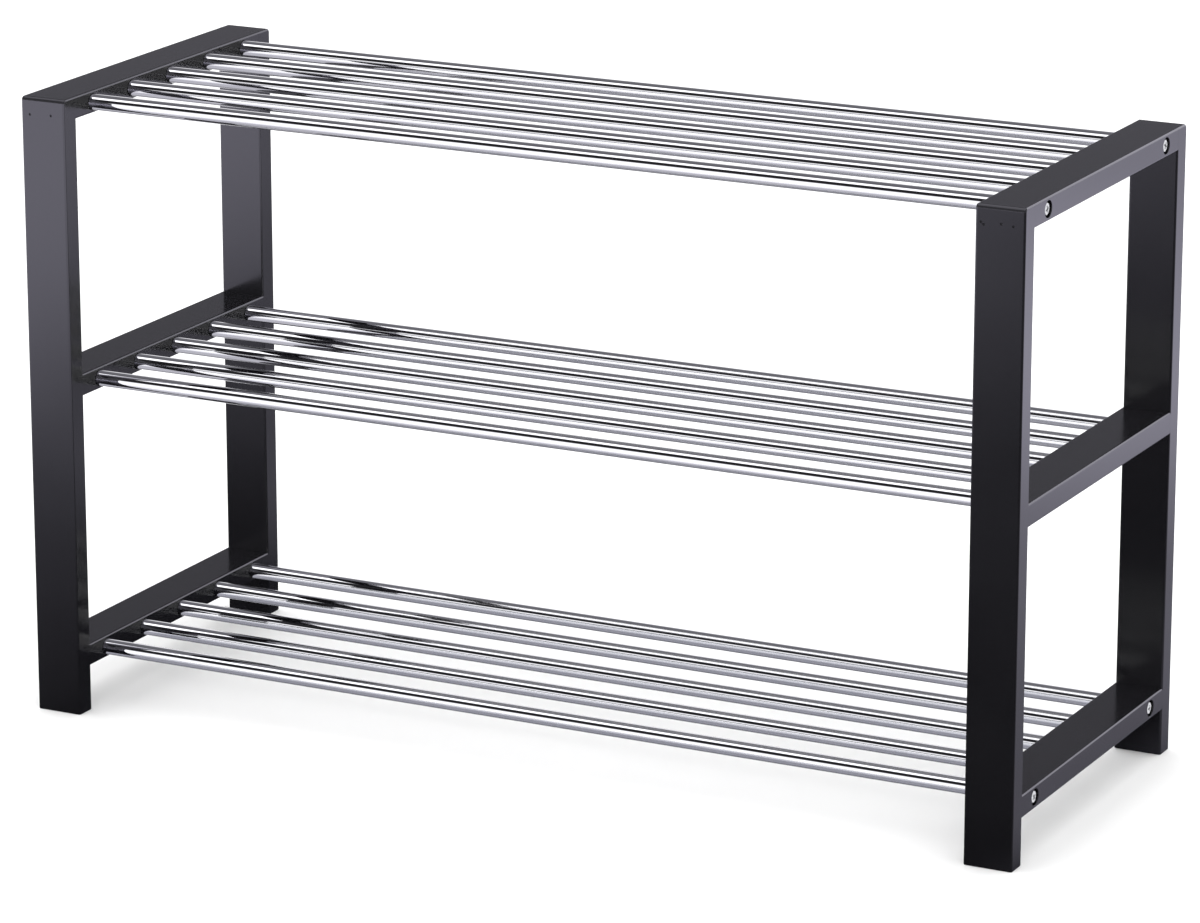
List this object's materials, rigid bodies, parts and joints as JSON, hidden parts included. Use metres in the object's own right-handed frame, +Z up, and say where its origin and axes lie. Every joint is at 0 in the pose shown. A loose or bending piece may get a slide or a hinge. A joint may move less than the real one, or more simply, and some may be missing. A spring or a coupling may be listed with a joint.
{
  "type": "shoe rack",
  "caption": "Free-standing tiered shoe rack: two black lacquered ladder side frames joined by shelves of chrome-plated steel tubes plugged into their rails.",
  "frame": {"origin": "on the floor, under the middle of the rack", "axes": "+X along the length from the left to the right side frame, +Y from front to rear, +Z up"},
  "size_m": [0.8, 0.3, 0.475],
  "materials": {
    "black_lacquer": "satin black lacquer on MDF",
    "chrome_tube": "bright chrome plate on steel tube",
    "zinc_screw": "bright zinc plate",
    "black_nylon": "moulded nylon",
    "beech_dowel": "plain turned beech",
    "steel_brad": "bare steel"
  },
  "bodies": {
    "root": {"left_front_leg": "black_lacquer", "left_rear_leg": "black_lacquer", "left_top_rail": "black_lacquer", "left_middle_rail": "black_lacquer", "left_bottom_rail": "black_lacquer", "right_front_leg": "black_lacquer", "right_rear_leg": "black_lacquer", "right_top_rail": "black_lacquer", "right_middle_rail": "black_lacquer", "right_bottom_rail": "black_lacquer", "top_tube_1": "chrome_tube", "top_tube_2": "chrome_tube", "top_tube_3": "chrome_tube", "top_tube_4": "chrome_tube", "top_tube_5": "chrome_tube", "middle_tube_1": "chrome_tube", "middle_tube_2": "chrome_tube", "middle_tube_3": "chrome_tube", "middle_tube_4": "chrome_tube", "middle_tube_5": "chrome_tube", "bottom_tube_1": "chrome_tube", "bottom_tube_2": "chrome_tube", "bottom_tube_3": "chrome_tube", "bottom_tube_4": "chrome_tube", "bottom_tube_5": "chrome_tube", "left_screws": "zinc_screw", "right_screws": "zinc_screw", "left_tube_plugs": "black_nylon", "right_tube_plugs": "black_nylon", "left_dowels": "beech_dowel", "right_dowels": "beech_dowel", "left_brads": "steel_brad", "right_brads": "steel_brad"}
  },
  "joints": []
}
